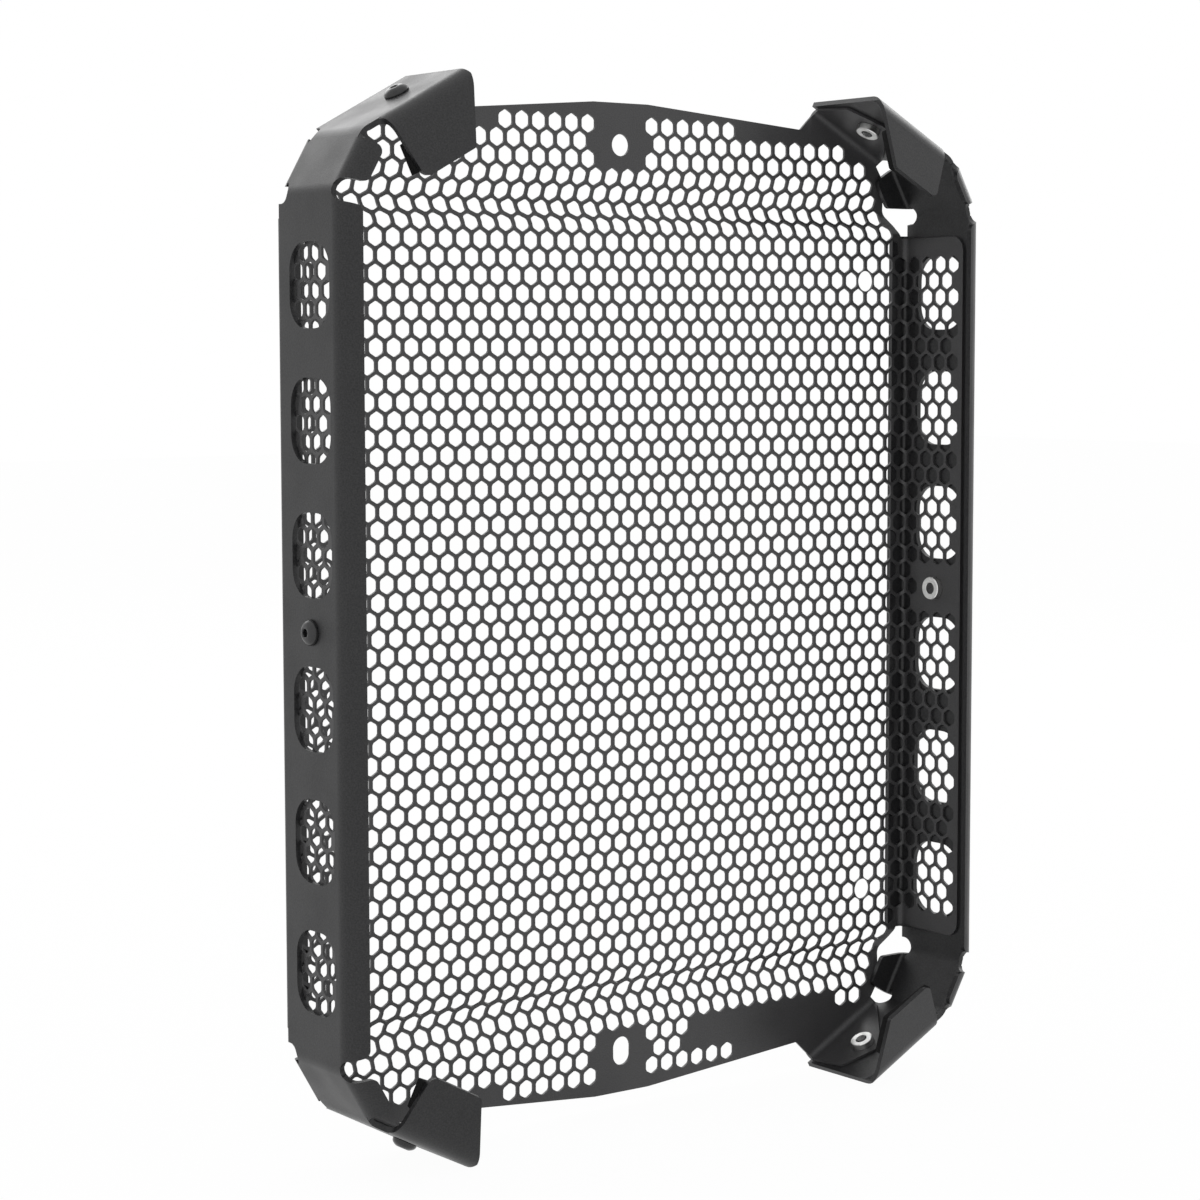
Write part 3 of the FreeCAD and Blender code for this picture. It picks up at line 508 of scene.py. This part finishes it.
# %% [markdown]
# ## Screws and nuts
# A button head screw is turned on a lathe, so it is a surface of revolution: a profile of radius and
# height carried round its axis. The hexagon socket is the one part that isn't round. Its rings take
# the radius of a hexagon in place of a circle's, by the distance to a flat divided by the cosine of
# the angle from that flat's middle.

# %% Turned pieces
AROUND = 48


def turned(profile):
    """Places of a profile of (radius, height, squareness) carried once round the height axis.

    Squareness 1 makes the ring a hexagon with that distance across half its flats."""
    profile = np.asarray(profile, float)
    angle = np.arange(AROUND) * 2 * math.pi / AROUND
    from_flat = np.mod(angle, math.pi / 3) - math.pi / 6
    hexagonal = 1 / np.cos(from_flat)
    stretch = 1 + profile[:, 2:] * (hexagonal - 1)
    radius = profile[:, :1] * stretch
    height = np.broadcast_to(profile[:, 1:2], radius.shape)
    return np.stack([radius * np.cos(angle), radius * np.sin(angle), height], axis=-1)


def walls_between(nearer, further):
    """Four cornered faces from each ring of one block of point numbers to that of the other."""
    corners = [nearer, np.roll(nearer, -1, axis=1), np.roll(further, -1, axis=1), further]
    return np.stack(corners, axis=-1).reshape(-1, 4).tolist()


def ring_faces(rings, closed):
    """Faces between neighbouring rings. A closed profile also joins its last ring to its first."""
    number = np.arange(rings * AROUND).reshape(rings, AROUND)
    nearer = number if closed else number[:-1]
    further = np.roll(number, -1, axis=0) if closed else number[1:]
    return walls_between(nearer, further)


def thread(low, high, crest, root, pitch=0.8):
    """Profile of a thread drawn as rings: crest, root, crest, from low to high."""
    count = int(round((high - low) / pitch))
    heights = low + pitch * (np.arange(count)[:, None] + np.array([0.12, 0.38, 0.62, 0.88]))
    radii = np.broadcast_to([crest, root, root, crest], heights.shape)
    return np.stack([radii.ravel(), heights.ravel(), np.zeros(heights.size)], axis=1)


dome = np.linspace(0, 1, 7)[:, None]
DOME_TURN = math.radians(62)
dome_angle = dome * DOME_TURN
head = np.concatenate([4.75 - 2.35 * (1 - np.cos(dome_angle)) / (1 - math.cos(DOME_TURN)),
                       0.45 + 2.3 * np.sin(dome_angle) / math.sin(DOME_TURN),
                       np.zeros((7, 1))], axis=1)
screw_profile = np.concatenate([
    [(0.001, -6.0, 0), (1.9, -6.0, 0)],
    thread(-5.6, -0.8, 2.42, 2.02),
    [(2.42, -0.4, 0), (2.42, 0.0, 0), (4.6, 0.0, 0), (4.75, 0.15, 0)],
    head,
    [(1.85, 2.75, 0), (1.5, 2.55, 1), (1.5, 1.2, 1), (0.9, 1.05, 1), (0.001, 0.8, 0)],
])
nut_profile = np.concatenate([
    [(3.15, -2.0, 0), (3.15, -3.0, 0), (4.6, -3.0, 0), (4.75, -3.15, 0), (4.75, -5.45, 0),
     (4.5, -5.7, 0), (2.5, -5.7, 0), (2.12, -5.4, 0)],
    thread(-5.1, -2.7, 2.10, 2.50)[::-1],
    [(2.5, -2.0, 0)],
])[::-1]
print("screw profile", len(screw_profile), "points, nut profile", len(nut_profile), "points")

# %% Put the fasteners in place
fastener_axes = {}
corner_place = upper_chamfer.start + upper_chamfer.run * 30.5
fastener_axes["top"] = (np.array([corner_place[0], -18.5, corner_place[1]]),
                        np.array([-upper_chamfer.inward[0], 0.0, -upper_chamfer.inward[1]]))
fastener_axes["middle"] = (np.array([154.0, -19.75, 0.0]), np.array([1.0, 0.0, 0.0]))
place, axis = fastener_axes["top"]
fastener_axes["bottom"] = (place * (1, 1, -1), axis * (1, 1, -1))


def at_seat(rings, place, axis):
    """Rings turned so that their height runs along the axis, and moved to the seat."""
    forward = np.array([0.0, -1.0, 0.0])
    across = np.cross(forward, axis)
    return place + rings @ np.stack([forward, across, axis])


for kind, profile, closed, finish in (("screw", screw_profile, False, oxide),
                                      ("nut", nut_profile, True, zinc)):
    rings = turned(profile)
    faces = ring_faces(len(profile), closed)
    for level, (place, axis) in fastener_axes.items():
        for side, way in (("right", 1), ("left", -1)):
            mirror = np.array([way, 1, 1])
            places = at_seat(rings, place * mirror, axis * mirror).reshape(-1, 3)
            name = f"{kind}_{side}_{level}"
            piece = new_piece(f"{name}_turned", places, faces)
            piece.data.materials.append(finish)
            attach(piece, "root")
            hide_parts(name)

# %% [markdown]
# ## Pads under the corner lips
# Behind each corner lip the real guard shows the edge of a soft black pad, which keeps the lip off
# the radiator. A pad is a flat plate of rubber foam, 3 mm thick, cut to the shape of the lip. One of
# its ends is cut a little askew, so it stands out past the lip there. It is drawn as a stack of
# outlines: each is the pad's outline drawn in a little, so its cut edges are slightly round, as
# foam's are.

# %% Pads
LIP_BEND = 6.5
LIP_TURN = math.radians(76.0)
PAD_CORNERS = np.array([(9.2, 3.9), (41.6, 3.9), (32.8, 17.4), (7.0, 15.2)])
PAD_STACK = np.array([(0.0, 0.15), (0.3, 0.0), (1.5, 0.0), (2.75, 0.0), (3.0, 0.2)])


def behind_lip(along, beyond, depth):
    """A place behind the right top corner lip: along the chamfer, beyond the lip's bend, and that
    deep under the lip's inner face.

    The bend's centre is one outer radius in from the frame's face. The place is the inner radius
    less the depth away from it, turned by the lip's angle, and then pushed along the flat."""
    radius = LIP_BEND - depth
    inward = LIP_BEND + FRAME_SHEET - radius * math.cos(LIP_TURN) + beyond * math.sin(LIP_TURN)
    forward = 36.0 + radius * math.sin(LIP_TURN) + beyond * math.cos(LIP_TURN)
    spot = (upper_chamfer.start + upper_chamfer.run * along[:, None]
            + upper_chamfer.inward * inward[:, None])
    return np.stack([spot[:, 0], -forward, spot[:, 1]], axis=1)


def pad_rings():
    """The pad's outline at each depth of the stack, drawn in towards its middle."""
    outline = rounded(PAD_CORNERS[::-1], np.array([0.4, 1.0, 1.0, 0.4]))
    middle = outline.mean(axis=0)
    reach = np.linalg.norm(outline - middle, axis=1, keepdims=True)
    rings = []
    for depth, inset in PAD_STACK:
        drawn_in = outline - (outline - middle) / reach * inset
        rings.append(behind_lip(drawn_in[:, 0], drawn_in[:, 1], depth))
    return np.array(rings)


def stack_faces(rings, count):
    """Walls between neighbouring rings, and a cap on the first and the last."""
    number = np.arange(rings * count).reshape(rings, count)
    walls = walls_between(number[:-1], number[1:])
    return walls + [number[0, ::-1].tolist(), number[-1].tolist()]


foam = powder_coat("rubber_foam", (0.006, 0.006, 0.006), (0.014, 0.014, 0.014), (0.75, 0.9),
                   grain=1500.0, depth=0.00008, level=0.15)
rings = pad_rings()
faces = stack_faces(*rings.shape[:2])
for side, way in (("right", 1), ("left", -1)):
    for end, up in (("top", 1), ("bottom", -1)):
        order = faces if way * up > 0 else [face[::-1] for face in faces]
        pad = new_piece(f"pad_{side}_{end}", rings.reshape(-1, 3) * (way, 1, up), order)
        pad.data.materials.append(foam)
        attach(pad, "root")

# %% [markdown]
# ## The frames
# The two frames keep their CAD meshes, which already have every bend, lip, relief and window. They
# only need their finish.

# %% Finish the CAD nodes
for name, node in nodes.items():
    finish = frame_coat if name.startswith("frame") else mesh_coat
    finish = {"screw": oxide, "nut": zinc}.get(name.split("_")[0], finish)
    node.data.materials.clear()
    node.data.materials.append(finish)
print("finished", len(nodes), "CAD nodes")

# %% [markdown]
# ## Camera
# The camera stands in front of the guard's open side, to the left and a little above the middle. Its
# place and direction were worked out once from the honeycomb in the photograph.

# %% Camera
CAMERA_PLACE = Vector((-0.68753, -0.89899, 0.10256))
CAMERA_RIGHT = Vector((0.79853526, -0.60194558, -0.00172021))
CAMERA_UP = Vector((0.0547151, 0.06973802, 0.99606369))
FOCAL_PIXELS = 2881.64
FRAME_PIXELS = 1200
SENSOR_WIDTH = 36.0

camera_data = bpy.data.cameras.new("camera")
camera_data.sensor_width = SENSOR_WIDTH
camera_data.lens = FOCAL_PIXELS / FRAME_PIXELS * SENSOR_WIDTH
camera = bpy.data.objects.new("camera", camera_data)
turned_axes = Matrix((CAMERA_RIGHT, CAMERA_UP, CAMERA_RIGHT.cross(CAMERA_UP))).transposed()
camera.matrix_world = Matrix.Translation(CAMERA_PLACE) @ turned_axes.to_4x4()
bpy.context.scene.collection.objects.link(camera)
bpy.context.scene.camera = camera
print("lens", round(camera_data.lens, 2), "mm")

# %% [markdown]
# ## Floor, world and lamps
# The photograph has a white ground on every side. The floor and the world are white at a strength
# of 1 to the camera and to reflections, and the floor still takes a faint shadow. Black powder coat
# shows its shape by what it reflects, so the larger lamp hangs above and behind the guard, where its
# slanted faces mirror it towards the camera, and a smaller one stands to the right.

# %% Floor
def seen_directly(tree, share=1.0):
    """That share for rays from the camera, from a gloss or through glass, and nought for the rest."""
    path = tree.nodes.new("ShaderNodeLightPath")
    total = path.outputs["Is Camera Ray"]
    for name in ("Is Glossy Ray", "Is Transmission Ray"):
        larger = tree.nodes.new("ShaderNodeMath")
        larger.operation = "MAXIMUM"
        tree.links.new(total, larger.inputs[0])
        tree.links.new(path.outputs[name], larger.inputs[1])
        total = larger.outputs[0]
    scaled = tree.nodes.new("ShaderNodeMath")
    scaled.operation = "MULTIPLY"
    scaled.inputs[1].default_value = share
    tree.links.new(total, scaled.inputs[0])
    return scaled.outputs[0]


floor_level = cad_box[0][2]
reach = 6.0
floor_mesh = bpy.data.meshes.new("floor")
floor_mesh.from_pydata([(-reach, -reach, floor_level), (reach, -reach, floor_level),
                        (reach, reach, floor_level), (-reach, reach, floor_level)],
                       [], [(0, 1, 2, 3)])
floor = bpy.data.objects.new("floor", floor_mesh)
bpy.context.scene.collection.objects.link(floor)
paper = bpy.data.materials.new("white_paper")
paper.use_nodes = True
tree = paper.node_tree
matt = tree.nodes["Principled BSDF"]
matt.inputs["Base Color"].default_value = (0.9, 0.9, 0.9, 1)
matt.inputs["Roughness"].default_value = 0.9
glow = tree.nodes.new("ShaderNodeEmission")
glow.inputs["Strength"].default_value = 1.0
mix = tree.nodes.new("ShaderNodeMixShader")
tree.links.new(seen_directly(tree, 0.97), mix.inputs["Fac"])
tree.links.new(matt.outputs["BSDF"], mix.inputs[1])
tree.links.new(glow.outputs["Emission"], mix.inputs[2])
tree.links.new(mix.outputs["Shader"], tree.nodes["Material Output"].inputs["Surface"])
floor_mesh.materials.append(paper)

# %% World
world = bpy.data.worlds.new("studio")
bpy.context.scene.world = world
world.use_nodes = True
tree = world.node_tree
soft = tree.nodes["Background"]
soft.inputs["Color"].default_value = (1, 1, 1, 1)
soft.inputs["Strength"].default_value = 0.8
backdrop = tree.nodes.new("ShaderNodeBackground")
backdrop.inputs["Color"].default_value = (1, 1, 1, 1)
backdrop.inputs["Strength"].default_value = 1.0
mix = tree.nodes.new("ShaderNodeMixShader")
tree.links.new(seen_directly(tree), mix.inputs["Fac"])
tree.links.new(soft.outputs["Background"], mix.inputs[1])
tree.links.new(backdrop.outputs["Background"], mix.inputs[2])
tree.links.new(mix.outputs["Shader"], tree.nodes["World Output"].inputs["Surface"])

# %% Lamps
def soft_lamp(name, place, width, height, power):
    """A lamp with a flat rectangular face, in metres and watts, that faces the origin."""
    data = bpy.data.lights.new(name, "AREA")
    data.shape = "RECTANGLE"
    data.size = width
    data.size_y = height
    data.energy = power
    lamp = bpy.data.objects.new(name, data)
    lamp.location = place
    lamp.rotation_euler = (-Vector(place)).to_track_quat("-Z", "Y").to_euler()
    bpy.context.scene.collection.objects.link(lamp)
    return lamp


soft_lamp("behind", place=(0.1, 1.7, 1.15), width=1.8, height=0.9, power=8.5)
soft_lamp("right", place=(1.75, 0.5, 0.8), width=0.9, height=0.9, power=6.0)
bpy.context.scene.view_settings.view_transform = "Standard"
